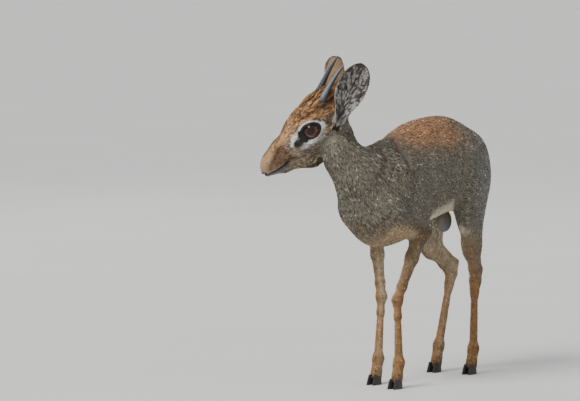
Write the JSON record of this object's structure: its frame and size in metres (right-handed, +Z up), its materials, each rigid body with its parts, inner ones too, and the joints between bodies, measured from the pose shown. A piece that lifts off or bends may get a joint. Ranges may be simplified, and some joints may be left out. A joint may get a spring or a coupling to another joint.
{
  "type": "dik dik",
  "caption": "Standing adult male dik-dik, a tiny antelope with short ringed horns, big dark eyes and slender legs, its head turned to the right.",
  "frame": {"origin": "centre of the bottom of the whole animal's bounding box, on the floor under the hooves", "axes": "+Z up, -X toward the chest, -Y the animal's left side"},
  "size_m": [0.423, 0.2028, 0.5151],
  "materials": {
    "body_coat": "matte, short grizzled fur",
    "face_coat": "matte, short rufous fur",
    "ear_coat": "matte, thin fur, pale inside",
    "leg_coat": "matte, sleek short fur",
    "bare_skin": "satin, fine wrinkles",
    "horn": "satin, ringed at the base",
    "hoof": "satin",
    "eye": "wet gloss"
  },
  "bodies": {
    "root": {"ear_left": "ear_coat", "ear_right": "ear_coat", "eye_left": "eye", "eye_right": "eye", "foreleg_left_cannon": "leg_coat", "foreleg_left_hoof_inner": "hoof", "foreleg_left_hoof_outer": "hoof", "foreleg_left_pastern": "leg_coat", "foreleg_left_upper": "leg_coat", "foreleg_right_cannon": "leg_coat", "foreleg_right_hoof_inner": "hoof", "foreleg_right_hoof_outer": "hoof", "foreleg_right_pastern": "leg_coat", "foreleg_right_upper": "leg_coat", "head": "face_coat", "hindleg_left_cannon": "leg_coat", "hindleg_left_hoof_inner": "hoof", "hindleg_left_hoof_outer": "hoof", "hindleg_left_pastern": "leg_coat", "hindleg_left_upper": "leg_coat", "hindleg_right_cannon": "leg_coat", "hindleg_right_hoof_inner": "hoof", "hindleg_right_hoof_outer": "hoof", "hindleg_right_pastern": "leg_coat", "hindleg_right_upper": "leg_coat", "horn_left": "horn", "horn_right": "horn", "neck": "body_coat", "scrotum": "bare_skin", "tail": "body_coat", "torso": "body_coat"}
  },
  "joints": []
}
